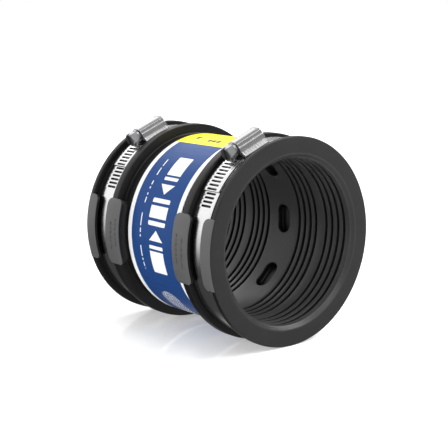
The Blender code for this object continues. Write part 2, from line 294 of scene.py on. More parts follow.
def apply_boolean(obj, points, faces, operation):
    """Joins a solid to the object, or cuts it away, for good."""
    tool = add_object("tool", points, faces)
    modifier = obj.modifiers.new(operation, "BOOLEAN")
    modifier.operation = operation
    modifier.solver = "EXACT"
    modifier.object = tool
    apply_modifiers(obj)
    bpy.data.objects.remove(tool, do_unlink=True)


def apply_modifiers(obj):
    graph = bpy.context.evaluated_depsgraph_get()
    mesh = bpy.data.meshes.new_from_object(obj.evaluated_get(graph))
    obj.modifiers.clear()
    obj.data = mesh


def add_bevel(obj, width):
    modifier = obj.modifiers.new("rounded edges", "BEVEL")
    modifier.width = width
    modifier.segments = 2
    modifier.limit_method = "ANGLE"
    modifier.angle_limit = radians(40)


# Node materials


def value_into(tree, socket, value):
    if isinstance(value, bpy.types.NodeSocket):
        tree.links.new(value, socket)
    else:
        socket.default_value = value


def math(tree, operation, *values):
    node = tree.nodes.new("ShaderNodeMath")
    node.operation = operation
    for socket, value in zip(node.inputs, values):
        value_into(tree, socket, value)
    return node.outputs[0]


def vector_math(tree, operation, *values):
    node = tree.nodes.new("ShaderNodeVectorMath")
    node.operation = operation
    if operation == "SCALE":
        value_into(tree, node.inputs["Scale"], values[1])
        values = values[:1]
    for socket, value in zip(node.inputs, values):
        value_into(tree, socket, value)
    return node.outputs["Value" if operation in ("LENGTH", "DOT_PRODUCT") else "Vector"]


def object_coordinates(tree):
    return tree.nodes.new("ShaderNodeTexCoord").outputs["Object"]


def noise(tree, place, scale, detail=3.0):
    node = tree.nodes.new("ShaderNodeTexNoise")
    value_into(tree, node.inputs["Vector"], place)
    node.inputs["Scale"].default_value = scale
    node.inputs["Detail"].default_value = detail
    return node.outputs["Fac"]


def ranged(tree, value, low, high):
    """A value from 0 to 1 made to run from low to high."""
    node = tree.nodes.new("ShaderNodeMapRange")
    value_into(tree, node.inputs["Value"], value)
    node.inputs["To Min"].default_value = low
    node.inputs["To Max"].default_value = high
    return node.outputs["Result"]


def smooth_range(tree, value, start, end, low, high):
    """low up to start, high from end on, and a smooth change between them."""
    node = tree.nodes.new("ShaderNodeMapRange")
    node.interpolation_type = "SMOOTHSTEP"
    value_into(tree, node.inputs["Value"], value)
    node.inputs["From Min"].default_value = start
    node.inputs["From Max"].default_value = end
    node.inputs["To Min"].default_value = low
    node.inputs["To Max"].default_value = high
    return node.outputs["Result"]


def mixed(tree, factor, first, second):
    node = tree.nodes.new("ShaderNodeMix")
    node.data_type = "RGBA"
    value_into(tree, node.inputs["Factor"], factor)
    value_into(tree, node.inputs["A"], first)
    value_into(tree, node.inputs["B"], second)
    return node.outputs["Result"]


def bump(tree, height, distance, normal=None):
    node = tree.nodes.new("ShaderNodeBump")
    value_into(tree, node.inputs["Height"], height)
    node.inputs["Distance"].default_value = distance
    if normal is not None:
        tree.links.new(normal, node.inputs["Normal"])
    return node.outputs["Normal"]


def new_material(name, metallic=0.0, specular=0.5):
    material = bpy.data.materials.new(name)
    material.use_nodes = True
    tree = material.node_tree
    shader = tree.nodes["Principled BSDF"]
    shader.inputs["Metallic"].default_value = metallic
    shader.inputs["Specular IOR Level"].default_value = specular
    return material, tree, shader


def rubber_material():
    """Moulded rubber: near black outside and in the bore's grooves and pockets, and greyer on the end faces,
    the mouths, the tabs' tops and the crests inside the bore.
    The grey is partly wear and partly painted light, with a painted highlight on the mouths' lead-ins; the
    near-black left in the grooves and pockets beside the lighter crests is painted shade. It has a fine
    moulded grain."""
    material, tree, shader = new_material("moulded_rubber", specular=0.40)
    place = object_coordinates(tree)
    split = tree.nodes.new("ShaderNodeSeparateXYZ")
    tree.links.new(place, split.inputs[0])
    along = math(tree, "ABSOLUTE", split.outputs["X"])
    from_axis = vector_math(tree, "LENGTH", vector_math(tree, "MULTIPLY", place, (0.0, 1.0, 1.0)))
    on_crest = math(tree, "LESS_THAN", from_axis, BORE_RADIUS + CREST_REACH)
    at_mouth = math(tree, "GREATER_THAN", along, RUBBER_MOUTH_START)
    in_mouth = math(tree, "LESS_THAN", from_axis, MOUTH_RADIUS + MOUTH_REACH)
    on_lead_in = math(tree, "MULTIPLY", at_mouth, in_mouth)
    on_face = math(tree, "GREATER_THAN", along, RUBBER_FACE_START)
    on_tab = math(tree, "GREATER_THAN", from_axis, TAB_TOP - TAB_REACH)
    # The grey on the faces, mouths, crests and tab tops is partly wear and partly painted light; the
    # near-black left in the grooves and pockets is painted shade.
    shares = ((on_face, FACE_SHARE), (on_crest, CREST_SHARE), (on_lead_in, MOUTH_SHARE), (on_tab, TAB_SHARE))
    worn_and_lit = any_of(tree, [math(tree, "MULTIPLY", mask, share) for mask, share in shares])
    clouds = ranged(tree, noise(tree, place, 45.0, detail=4.0), 0.85, 1.15)
    colour = mixed(tree, worn_and_lit, (*RUBBER_DARK, 1), (*RUBBER_WORN_AND_LIT, 1))
    tree.links.new(vector_math(tree, "SCALE", colour, clouds), shader.inputs["Base Color"])
    tree.links.new(ranged(tree, noise(tree, place, 160.0), 0.32, 0.44), shader.inputs["Roughness"])
    grain = bump(tree, noise(tree, place, 2600.0, detail=2.0), 0.00002)
    flow = bump(tree, noise(tree, place, 220.0), 0.00004, normal=grain)
    tree.links.new(flow, shader.inputs["Normal"])
    return material


def strip_steel_material():
    """Bright rolled strip: fine lines run along it, and it has a few faint smudges."""
    material, tree, shader = new_material("rolled_strip_steel", metallic=1.0)
    lengthways = tree.nodes.new("ShaderNodeUVMap").outputs["UV"]
    stretched = vector_math(tree, "MULTIPLY", lengthways, (30.0, 9000.0, 1.0))
    lines = noise(tree, stretched, 1.0, detail=3.0)
    smudges = noise(tree, object_coordinates(tree), 130.0, detail=3.0)
    colour = mixed(tree, smudges, (0.80, 0.80, 0.80, 1), (0.90, 0.90, 0.90, 1))
    tree.links.new(colour, shader.inputs["Base Color"])
    roughness = math(tree, "ADD", ranged(tree, lines, 0.13, 0.24), ranged(tree, smudges, -0.02, 0.05))
    tree.links.new(roughness, shader.inputs["Roughness"])
    tree.links.new(bump(tree, lines, 0.000006), shader.inputs["Normal"])
    return material


def stamped_steel_material(name, dark, light, low_roughness, high_roughness):
    """Stamped or headed steel: slightly cloudy, with tiny tumbling marks."""
    material, tree, shader = new_material(name, metallic=1.0)
    place = object_coordinates(tree)
    clouds = noise(tree, place, 260.0, detail=4.0)
    marks = noise(tree, place, 2400.0, detail=3.0)
    tree.links.new(mixed(tree, clouds, (*dark, 1), (*light, 1)), shader.inputs["Base Color"])
    tree.links.new(ranged(tree, clouds, low_roughness, high_roughness), shader.inputs["Roughness"])
    tree.links.new(bump(tree, marks, 0.000012), shader.inputs["Normal"])
    return material


def label_plane(tree, start, repeat):
    """The printed side laid flat: X across and Y along, in millimetres, as a vector. The print begins at an
    angle and comes again after a repeat."""
    split = tree.nodes.new("ShaderNodeSeparateXYZ")
    tree.links.new(object_coordinates(tree), split.inputs[0])
    x, y, z = split.outputs
    angle = math(tree, "DEGREES", math(tree, "ARCTAN2", z, math(tree, "MULTIPLY", y, -1.0)))
    repeated = math(tree, "WRAP", angle, start + repeat, start)
    join = tree.nodes.new("ShaderNodeCombineXYZ")
    tree.links.new(math(tree, "MULTIPLY", x, 1000.0), join.inputs["X"])
    tree.links.new(math(tree, "MULTIPLY", repeated, LABEL_MM_PER_DEGREE), join.inputs["Y"])
    return join.outputs[0]


def in_box(tree, plane, across, along, corner=0.4):
    """1 inside a box with round corners. across and along are its (low, high) in millimetres."""
    centre = ((across[0] + across[1]) / 2, (along[0] + along[1]) / 2, 0.0)
    half = ((across[1] - across[0]) / 2 - corner, (along[1] - along[0]) / 2 - corner, 0.0)
    offset = vector_math(tree, "ABSOLUTE", vector_math(tree, "SUBTRACT", plane, centre))
    outside = vector_math(tree, "MAXIMUM", vector_math(tree, "SUBTRACT", offset, half), (0.0, 0.0, 0.0))
    return math(tree, "LESS_THAN", vector_math(tree, "LENGTH", outside), corner)


def in_arrow(tree, plane, tip, length, half_width):
    """1 inside a triangle whose tip points along the label: upwards if length is negative, or downwards."""
    split = tree.nodes.new("ShaderNodeSeparateXYZ")
    tree.links.new(plane, split.inputs[0])
    behind_tip = math(tree, "DIVIDE", math(tree, "SUBTRACT", split.outputs["Y"], tip[1]), length)
    sideways = math(tree, "ABSOLUTE", math(tree, "SUBTRACT", split.outputs["X"], tip[0]))
    inside = math(tree, "LESS_THAN", sideways, math(tree, "MULTIPLY", behind_tip, half_width))
    return math(tree, "MULTIPLY", inside, math(tree, "LESS_THAN", behind_tip, 1.0))


def any_of(tree, masks):
    found = masks[0]
    for mask in masks[1:]:
        found = math(tree, "MAXIMUM", found, mask)
    return found


def pictogram(tree, plane):
    """Two pipes that two arrows push into a coupling with two clamps, all drawn as solid shapes."""
    centre = 16.0
    middle = 3.4
    whites = [in_box(tree, plane, (middle - 7.8, middle + 7.8), (centre - 8.0, centre + 8.0), 1.0)]
    blues = []
    for side in (-1, 1):
        pipe = sorted((centre + side * 36.5, centre + side * 19.5))
        whites.append(in_box(tree, plane, (middle - 6.2, middle + 6.2), pipe, 0.8))
        whites.append(in_arrow(tree, plane, (middle, centre + side * 10.6), side * 6.2, 6.2))
        ring = sorted((centre + side * 21.6, centre + side * 23.0))
        blues.append(in_box(tree, plane, (middle - 7.0, middle + 7.0), ring, 0.1))
        clamp = sorted((centre + side * 3.6, centre + side * 5.4))
        blues.append(in_box(tree, plane, (middle - 9.0, middle + 9.0), clamp, 0.1))
    kept = math(tree, "SUBTRACT", 1.0, any_of(tree, blues))
    return math(tree, "MULTIPLY", any_of(tree, whites), kept)


def small_dashes(tree, plane):
    """A line of short dashes of uneven length, as thin as small print."""
    split = tree.nodes.new("ShaderNodeSeparateXYZ")
    tree.links.new(plane, split.inputs[0])
    random = tree.nodes.new("ShaderNodeTexWhiteNoise")
    random.noise_dimensions = "1D"
    value_into(tree, random.inputs["W"], math(tree, "FLOOR", math(tree, "DIVIDE", split.outputs["Y"], 1.3)))
    printed = math(tree, "GREATER_THAN", random.outputs["Value"], 0.32)
    masks = [in_box(tree, plane, (-11.7, -10.9), span, 0.1) for span in ((20.0, 53.0), (-20.0, 14.0))]
    return math(tree, "MULTIPLY", any_of(tree, masks), printed)


def line_patch(tree, plane):
    """A small oval patch of fine wavy lines."""
    split = tree.nodes.new("ShaderNodeSeparateXYZ")
    tree.links.new(plane, split.inputs[0])
    wave = math(tree, "SINE", math(tree, "MULTIPLY", split.outputs["X"], 0.9))
    rows = math(tree, "ADD", math(tree, "MULTIPLY", split.outputs["Y"], 0.7), wave)
    lines = math(tree, "LESS_THAN", math(tree, "FRACT", rows), 0.34)
    return math(tree, "MULTIPLY", in_box(tree, plane, (-8.5, 6.0), (-61.0, -35.0), 6.5), lines)


def label_material():
    """Printed film: blue with white edges, a yellow block, a white pictogram and small generic marks."""
    material, tree, shader = new_material("printed_film", specular=0.16)
    plane = label_plane(tree, LABEL_REPEAT_START, LABEL_REPEAT)
    once = label_plane(tree, LABEL_TURN_START, 360.0)
    colour = mixed(tree, noise(tree, plane, 0.25), LABEL_BLUE, tuple(1.12 * c for c in LABEL_BLUE))
    white = any_of(tree, [pictogram(tree, plane), small_dashes(tree, plane), line_patch(tree, plane)])
    colour = mixed(tree, white, colour, LABEL_WHITE)
    yellow = in_box(tree, once, (-24.0, 24.0), (67.0, 97.0), 0.1)
    colour = mixed(tree, yellow, colour, LABEL_YELLOW)
    marks = [in_box(tree, once, (across, across + 3.0), (72.0, 75.4), 0.4) for across in (-1.0, 3.0, 7.0)]
    marks.append(in_box(tree, once, (-1.0, 10.0), (79.0, 79.8), 0.1))
    marks.append(in_arrow(tree, once, (-12.0, 72.5), 5.0, 2.6))
    colour = mixed(tree, any_of(tree, marks), colour, LABEL_BLACK)
    borders = [in_box(tree, plane, span, (-75.0, 101.0), 0.01) for span in ((-24.0, -19.8), (19.8, 24.0))]
    on_border = math(tree, "MULTIPLY", any_of(tree, borders), math(tree, "SUBTRACT", 1.0, yellow))
    colour = mixed(tree, on_border, colour, LABEL_WHITE)
    tree.links.new(colour, shader.inputs["Base Color"])
    tree.links.new(ranged(tree, noise(tree, plane, 0.4), 0.26, 0.36), shader.inputs["Roughness"])
    ripples = vector_math(tree, "MULTIPLY", plane, (0.02, 0.22, 1.0))
    tree.links.new(bump(tree, noise(tree, ripples, 1.0), 0.00025), shader.inputs["Normal"])
    return material


# Sleeve


def seal_groove(centre):
    """The outline of one groove in the bore, from its front edge to its rear edge, as (x, radius) points."""
    half = SEAL_GROOVE_WIDTH / 2
    floor_half = SEAL_GROOVE_FLOOR / 2
    floor = BORE_RADIUS + SEAL_GROOVE_DEPTH
    corner = SEAL_ROUNDING
    front = arc((centre + half + corner, BORE_RADIUS + corner), corner, 270, 190)
    floor_front = [(centre + floor_half, floor - 0.0001), (centre + floor_half - 0.0002, floor)]
    front_side = front + floor_front
    rear_side = [(2 * centre - x, radius) for x, radius in reversed(front_side)]
    return front_side + rear_side


def half_outline():
    """The sleeve's outline from the middle of its outside to the middle of its bore, by the front mouth."""
    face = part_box("sleeve")[1].x
    flange = -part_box("sleeve")[0].z
    edge = FLANGE_ROUNDING
    root = ROOT_FILLET
    outline = [(x, BARREL_RADIUS) for x in BARREL_STATIONS]
    outline += arc((INNER_FLANGE_INSIDE - root, BARREL_RADIUS + root), root, 270, 360)
    outline += arc((INNER_FLANGE_INSIDE + edge, flange - edge), edge, 180, 90)
    outline += arc((GROOVE_INSIDE - edge, flange - edge), edge, 90, 0)
    outline += arc((GROOVE_INSIDE + root / 2, SEAT_RADIUS + root / 2), root / 2, 180, 270)
    outline += arc((OUTER_FLANGE_INSIDE - root / 2, SEAT_RADIUS + root / 2), root / 2, 270, 360)
    outline += arc((OUTER_FLANGE_INSIDE + edge, flange - edge), edge, 180, 90)
    outline += arc((face - FACE_ROUNDING, flange - FACE_ROUNDING), FACE_ROUNDING, 90, 0, 8)
    outline += arc((face - MOUTH_ROUNDING, MOUTH_RADIUS + MOUTH_ROUNDING), MOUTH_ROUNDING, 0, -70)
    outline.append((face - LEAD_IN_LENGTH, BORE_RADIUS))
    for centre in SEAL_GROOVES:
        outline += seal_groove(centre)
    outline += [(BORE_MIDDLE_START, BORE_RADIUS), (0.0, BORE_RADIUS)]
    return outline


def tab_stations():
    """Distances from a tab's end to its middle, close together over its round corners."""
    corner = [TAB_CORNER * (1 - cos(radians(angle))) for angle in range(15, 91, 15)]
    start = [0.0, TAB_ROUNDING * 0.2, TAB_ROUNDING * 0.5]
    half_length = TAB_HALF_ANGLE * TAB_TOP
    middle = [corner[-1] + (half_length - corner[-1]) * k / 5 for k in range(1, 6)]
    return sorted(start + corner + middle)


def tab_solid(span, end, side, on_inner_flange):
    """One tab with round edges. end is 1 or -1 for the sleeve's front or rear half, and side is the angle
    of the tab's middle."""
    low, high = span
    near_end = tab_stations()
    half_length = TAB_HALF_ANGLE * TAB_TOP
    places = [-(half_length - d) for d in near_end] + [half_length - d for d in reversed(near_end[:-1])]
    sections = []
    for place in places:
        from_end = half_length - abs(place)
        corner_left = max(0.0, TAB_CORNER - from_end)
        pulled_in = TAB_CORNER - sqrt(TAB_CORNER**2 - corner_left**2)
        edge_left = max(0.0, TAB_ROUNDING - from_end)
        top = TAB_TOP - (TAB_ROUNDING - sqrt(TAB_ROUNDING**2 - edge_left**2))
        edge = TAB_ROUNDING
        if on_inner_flange:
            left = low + pulled_in
            right = high - pulled_in
            outline = [(left, TAB_ROOT)]
            outline += arc((left + edge, top - edge), edge, 180, 90)
            outline += arc((right - edge, top - edge), edge, 90, 0)
            outline += arc((right - edge / 2, TAB_LIP_UNDERSIDE + edge / 2), edge / 2, 0, -90)
            outline += [(GROOVE_INSIDE - TAB_BITE, TAB_LIP_UNDERSIDE), (GROOVE_INSIDE - TAB_BITE, TAB_ROOT)]
        else:
            left = low + pulled_in
            outline = [(OUTER_FLANGE_INSIDE + TAB_BITE, TAB_ROOT)]
            outline += [(OUTER_FLANGE_INSIDE + TAB_BITE, TAB_LIP_UNDERSIDE)]
            outline += arc((left + edge / 2, TAB_LIP_UNDERSIDE + edge / 2), edge / 2, 270, 180)
            outline += arc((left + edge, top - edge), edge, 180, 90)
            outline += arc((high - edge, top - edge), edge, 90, 0)
            outline += [(high, TAB_ROOT)]
        angle = side + place / TAB_TOP
        sections.append([around(end * x, radius, angle) for x, radius in outline])
    return lofted(sections)


def raised_mark(x, angle, length, width, end):
    """A small raised bar on a tab's top. length runs round the sleeve, and width along it."""
    sections = []
    for part in (-0.5, -0.38, 0.38, 0.5):
        height = MARK_HEIGHT if abs(part) < 0.5 else 0.0
        reach = width / 2
        at = angle + part * length / TAB_TOP
        bottom = TAB_TOP - TAB_ROUNDING / 3
        outline = [(x - reach, bottom), (x - reach * 0.7, TAB_TOP + height)]
        outline += [(x + reach * 0.7, TAB_TOP + height), (x + reach, bottom)]
        sections.append([around(end * px, radius, at) for px, radius in outline])
    return lofted(sections)


def tab_marks(end, side):
    """Two rows of generic raised bars and dots on an inner tab."""
    lengths = (2.2, 0.9, 2.2, 2.2, 0.9, 3.4)
    marks = []
    for x, start in ((0.0292, -8.6), (0.0338, -6.2)):
        at = start
        for length in lengths:
            angle = side + (at + length / 2) * 0.001 / TAB_TOP
            marks.append(raised_mark(x, angle, length * 0.001, 0.0011, end))
            at += length + 1.0
    return marks


def pocket_cutter(angle):
    """A slot-shaped cutter in the bore's wall, with a rounded rim. Its length runs round the bore."""
    straight = (POCKET_LENGTH - POCKET_WIDTH) / 2
    round_rim = POCKET_RIM_ROUNDING
    levels = [(BORE_RADIUS - 0.0012, round_rim)]
    for k in range(ARC_STEPS + 1):
        turn = pi / 2 * k / ARC_STEPS
        levels.append((BORE_RADIUS + round_rim * sin(turn), round_rim * (1 - sin(turn)) * cos(turn)))
    levels.append((BORE_RADIUS + POCKET_DEPTH - 0.0004, -0.0001))
    levels.append((BORE_RADIUS + POCKET_DEPTH, -0.0005))
    sections = []
    for radius, outset in levels:
        outline = []
        for centre, first in ((straight, 0.0), (-straight, pi)):
            for k in range(POCKET_END_STEPS + 1):
                turn = first + pi * k / POCKET_END_STEPS
                reach = POCKET_WIDTH / 2 + outset
                outline.append((reach * cos(turn), centre + reach * sin(turn)))
        sections.append([around(x, radius, angle + s / BORE_RADIUS) for x, s in outline])
    return lofted(sections)


def build_sleeve(material):
    front = half_outline()
    rear = [(-x, radius) for x, radius in reversed(front)]
    profile = front + rear[1:-1]
    sections = []
    for k in range(SLEEVE_SEGMENTS):
        angle = 2 * pi * k / SLEEVE_SEGMENTS
        sections.append([around(x, radius, angle) for x, radius in profile])
    sections.append(sections[0])
    points, faces = lofted(sections, closed_ends=False)
    sleeve = add_object("rubber_sleeve", points, faces)
    bpy.context.view_layer.update()
    shape = bmesh.new()
    shape.from_mesh(sleeve.data)
    bmesh.ops.remove_doubles(shape, verts=shape.verts, dist=1e-7)
    bmesh.ops.recalc_face_normals(shape, faces=shape.faces)
    shape.to_mesh(sleeve.data)
    shape.free()
    tabs = []
    marks = []
    for side in (pi / 2, -pi / 2):
        for end in (1, -1):
            tabs.append(tab_solid(INNER_TAB_SPAN, end, side, True))
            tabs.append(tab_solid(OUTER_TAB_SPAN, end, side, False))
            marks += tab_marks(end, side)
    apply_boolean(sleeve, *joined(tabs), "UNION")
    apply_boolean(sleeve, *joined(marks), "UNION")
    pockets = [pocket_cutter(pi / 2 + 2 * pi * k / POCKET_COUNT) for k in range(POCKET_COUNT)]
    apply_boolean(sleeve, *joined(pockets), "DIFFERENCE")
    smooth(sleeve.data, 40)
    sleeve.data.materials.clear()
    sleeve.data.materials.append(material)
    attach(sleeve, "sleeve_body")
    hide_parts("sleeve")


def build_label(material):
    """The film round the barrel, with its end lapped over its start at the bottom."""
    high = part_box("label")[1]
    outer = high.z
    inner = BARREL_RADIUS + LABEL_GAP
    half = high.x
    across = [half * (2 * k / LABEL_STEPS_ACROSS - 1) for k in range(LABEL_STEPS_ACROSS + 1)]
    turns = 2 * pi + LABEL_LAP
    sections = []
    for k in range(LABEL_SEGMENTS + 1):
        angle = pi - LABEL_LAP / 2 + turns * k / LABEL_SEGMENTS
        lapped = (angle - (pi - LABEL_LAP / 2) - 2 * pi + LABEL_LAP) / LABEL_LAP
        rise = LABEL_LAP_RISE * min(1.0, max(0.0, lapped))
        top = [(x, outer - LABEL_LAP_RISE + rise) for x in across]
        bottom = [(x, inner + rise) for x in reversed(across)]
        sections.append([around(x, radius, angle) for x, radius in top + bottom])
    label = add_object("wrap_label", *lofted(sections))
    label.data.materials.append(material)
    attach(label, "sleeve_body")
    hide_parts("label")


# Clamps


def smooth_step(value):
    value = min(1.0, max(0.0, value))
    return value * value * (3 - 2 * value)


def slot_cell(middle, width):
    """Points and faces, as (x, distance round), of one pitch of strip with a round-ended slot."""
    reach = SLOT_WIDTH / 2
    straight = SLOT_LENGTH / 2 - reach
    pitch = SLOT_PITCH * TAIL_RADIUS
    inner = arc((straight, 0.0), reach, -90, 90, 5)
    outer = [(straight, -pitch / 2)]
    outer += [(width / 2, pitch * part) for part in (-0.5, -1 / 6, 1 / 6, 0.5)]
    outer += [(straight, pitch / 2)]
    inner += [(-x, -s) for x, s in inner]
    outer += [(-x, -s) for x, s in outer]
    points = [(x, middle + s / TAIL_RADIUS) for x, s in inner + outer]
    count = len(inner)
    faces = [(i, (i + 1) % count, count + (i + 1) % count, count + i) for i in range(count)]
    return points, faces


def plain_cell(start, end, width):
    straight = SLOT_LENGTH / 2 - SLOT_WIDTH / 2
    edges = (-width / 2, -straight, straight, width / 2)
    points = [(x, angle) for angle in (start, end) for x in edges]
    faces = [(k, k + 1, k + 5, k + 4) for k in range(3)]
    return points, faces


def plain_run(start, end, width):
    count = max(1, round((end - start) / STRIP_STEP))
    step = (end - start) / count
    return [plain_cell(start + k * step, start + (k + 1) * step, width) for k in range(count)]


def strip_object(name, cells, radius_at, place, material, slot_wall_shade):
    """A strip bent round X, from its cells. radius_at gives its inside radius at an angle, and the last
    argument is the material of the walls of its slots, a dark steel that paints the shade in them."""
    points, faces = joined(cells)
    mesh = bpy.data.meshes.new(name)
    bent = [place @ around(x, radius_at(angle), angle) for x, angle in points]
    mesh.from_pydata([tuple(p) for p in bent], [], faces)
    layer = mesh.uv_layers.new(name="UVMap")
    for loop in mesh.loops:
        x, angle = points[loop.vertex_index]
        layer.data[loop.index].uv = (angle * TAIL_RADIUS, x)
    shape = bmesh.new()
    shape.from_mesh(mesh)
    bmesh.ops.remove_doubles(shape, verts=shape.verts, dist=1e-6)
    for face in shape.faces:
        if face.normal.dot(face.calc_center_median() - place.translation) < 0:
            face.normal_flip()
    shape.to_mesh(mesh)
    shape.free()
    obj = bpy.data.objects.new(name, mesh)
    bpy.context.scene.collection.objects.link(obj)
    mesh.materials.append(material)
    mesh.shade_smooth()
    solid = obj.modifiers.new("sheet", "SOLIDIFY")
    solid.thickness = STRIP_THICKNESS
    solid.offset = 1.0
    solid.use_even_offset = True
    add_bevel(obj, STRIP_EDGE)
    apply_modifiers(obj)
    smooth(obj.data, 40)
    obj.data.materials.append(slot_wall_shade)
    into_clamp = place.inverted()
    turn = into_clamp.to_3x3()
    for face in obj.data.polygons:
        at = into_clamp @ face.center
        outwards = Vector((0.0, at.y, at.z)).normalized()
        # Slot walls take the second material, a dark steel with painted shade.
        if abs(at.x) < SLOT_WALL_REACH and abs((turn @ face.normal).dot(outwards)) < 0.5:
            face.material_index = 1
    return obj


def strip_radius(angle):
    """The tail climbs from the loop's layer to the upper one on its way to the housing."""
    share = smooth_step((angle - RISE_START) / (RISE_END - RISE_START))
    return LOOP_RADIUS + (TAIL_RADIUS - LOOP_RADIUS) * share


def build_strip(end, place, tail_turns, material, slot_wall_shade):
    low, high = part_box(end + "_band")
    width = high.x - low.x
    slots = [slot_cell(k * SLOT_PITCH, width) for k in LOOP_SLOTS]
    first = (LOOP_SLOTS[0] - 0.5) * SLOT_PITCH
    last = (LOOP_SLOTS[-1] + 0.5) * SLOT_PITCH
    cells = plain_run(LOOP_START, first, width) + slots + plain_run(last, SPLIT_ANGLE + 2 * pi, width)
    name = end + "_strip_loop"
    loop = strip_object(name, cells, lambda angle: LOOP_RADIUS, place, material, slot_wall_shade)
    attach(loop, end + "_clamp")
    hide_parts(end + "_band")

    shift = tail_turns * SLOT_PITCH
    slots = [slot_cell(k * SLOT_PITCH + shift, width) for k in TAIL_SLOTS]
    first = (TAIL_SLOTS[0] - 0.5) * SLOT_PITCH + shift
    last = (TAIL_SLOTS[-1] + 0.5) * SLOT_PITCH + shift
    cells = plain_run(SPLIT_ANGLE, first, width) + slots
    tail = strip_object(end + "_strip_tail", cells, strip_radius, place, material, slot_wall_shade)
    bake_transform(tail)
    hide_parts(end + "_band_tail")


def build_saddle(end, place, material):
    """The curved plate under the housing, with round corners."""
    half = SADDLE_WIDTH / 2
    length = (SADDLE_END - SADDLE_START) * LOOP_RADIUS
    sections = []
    for k in range(SADDLE_STEPS + 1):
        along = length * (1 - cos(pi * k / SADDLE_STEPS)) / 2
        corner_left = max(0.0, SADDLE_CORNER - min(along, length - along))
        reach = half - (SADDLE_CORNER - sqrt(SADDLE_CORNER**2 - corner_left**2))
        angle = SADDLE_START + along / LOOP_RADIUS
        outline = [(x, LOOP_RADIUS) for x in (-reach, -half / 2, half / 2, reach)]
        outline += [(x, radius + STRIP_THICKNESS) for x, radius in reversed(outline)]
        sections.append([place @ around(x, radius, angle) for x, radius in outline])
    saddle = add_object(end + "_saddle_plate", *lofted(sections))
    saddle.data.materials.append(material)
    add_bevel(saddle, STRIP_EDGE)
    apply_modifiers(saddle)
    smooth(saddle.data, 40)
    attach(saddle, end + "_clamp")
    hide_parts(end + "_saddle")


def dome_points(shrink):
    """The crest of the housing from its +X edge to the -X one, as (x, z) points."""
    half = CREST_EDGE[0]
    rise = CREST_HEIGHT - CREST_EDGE[1]
    radius = (half**2 + rise**2) / (2 * rise)
    centre = CREST_HEIGHT - radius
    reach = asin(half / radius)
    points = []
    for k in range(CREST_STEPS + 1):
        angle = reach * (1 - 2 * k / CREST_STEPS)
        points.append(((radius - shrink) * sin(angle), centre + (radius - shrink) * cos(angle)))
    return points


def housing_path(y, lift, shrink):
    """The outside of the housing at y, from its +X foot over the crest to its -X foot. lift raises it, and
    shrink pulls it in where its edge turns into an end wall."""
    foot = sqrt(HOUSING_FOOT_RADIUS**2 - y**2)
    in_ribs = RIB_SPAN[0] < y < RIB_SPAN[1]
    rib = RIB_HEIGHT * max(0.0, sin(2 * pi * (y - RIB_SPAN[0]) / RIB_PITCH)) if in_ribs else 0.0
    side = [(HOUSING_HALF_WIDTH - shrink, foot)]
    for k, (x, z) in enumerate(reversed(SHOULDER)):
        raised = rib * RIB_SHAPE[k]
        side.append((x - shrink + raised * 0.6, z + raised))
    side.append((SIDE_FOOT[0] + lift - shrink, SIDE_FOOT[1]))
    middle = ((SIDE_FOOT[0] + CREASE[0]) / 2, (SIDE_FOOT[1] + CREASE[1]) / 2)
    for x, z in (middle, CREASE, *reversed(FLUTE)):
        side.append((x + lift - shrink, z))
    dome = [(x + copysign(lift, x) * 0.7, z + lift) for x, z in dome_points(shrink)]
    path = side + dome + [(-x, z) for x, z in reversed(side)]
    return [Vector((x, y, z)) for x, z in path]


def neck_path(y, like):
    """The edge of the hole round the screw's neck in an end wall, with as many points as the outside has. It
    climbs from the foot, runs in to the hole, goes over the neck and comes down as a mirror image."""
    count = len(like)
    wall = HOUSING_HALF_WIDTH - HOUSING_SHEET
    foot = like[0].z
    points = []
    for k in range(count):
        share = k / (count - 1)
        if share < NECK_SIDE_SHARE:
            up = min(1.0, share / NECK_FOOT_SHARE)
            inwards = max(0.0, share - NECK_FOOT_SHARE) / (NECK_SIDE_SHARE - NECK_FOOT_SHARE)
            x = wall + (NECK_HOLE_RADIUS - wall) * inwards
            z = foot + (NECK_HOLE_LOW - foot) * up
        elif share > 1 - NECK_SIDE_SHARE:
            mirrored = points[count - 1 - k]
            x, z = -mirrored.x, mirrored.z
        else:
            angle = pi * (share - NECK_SIDE_SHARE) / (1 - 2 * NECK_SIDE_SHARE)
            x = NECK_HOLE_RADIUS * cos(angle)
            z = SCREW_HEIGHT + NECK_HOLE_RADIUS * sin(angle)
        points.append(Vector((x, y, z)))
    return points


def build_housing(end, place, material):
    """The stamped tunnel over the worm: a creased crest, ribbed shoulders, end walls and a lip at the far
    end."""
    sections = [neck_path(HOUSING_NEAR, housing_path(HOUSING_NEAR, 0.0, HOUSING_ROUNDING))]
    for angle in (0, 30, 60, 90):
        turned_in = HOUSING_ROUNDING * (1 - sin(radians(angle)))
        y = HOUSING_NEAR + HOUSING_ROUNDING * (1 - cos(radians(angle)))
        sections.append(housing_path(y, 0.0, turned_in))
    first = HOUSING_NEAR + HOUSING_ROUNDING
    last = HOUSING_FAR - FAR_LIP_LENGTH
    for k in range(1, HOUSING_STEPS):
        sections.append(housing_path(first + (last - first) * k / HOUSING_STEPS, 0.0, 0.0))
    for share, lift in FAR_LIP_SHAPE:
        sections.append(housing_path(last + FAR_LIP_LENGTH * share, FAR_LIP_RISE * lift, 0.0))
    sections.append(neck_path(HOUSING_FAR - 0.0002, sections[-1]))
    count = len(sections[0])
    points = [place @ point for section in sections for point in section]
    faces = []
    for k in range(len(sections) - 1):
        for i in range(count - 1):
            here = k * count + i
            faces.append((here, here + 1, here + count + 1, here + count))
    housing = add_object(end + "_worm_housing", points, faces, 50)
    solid = housing.modifiers.new("sheet", "SOLIDIFY")
    solid.thickness = HOUSING_SHEET
    solid.offset = -1.0
    apply_modifiers(housing)
    smooth(housing.data, 32)
    housing.data.materials.append(material)
    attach(housing, end + "_clamp")
    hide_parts(end + "_housing")


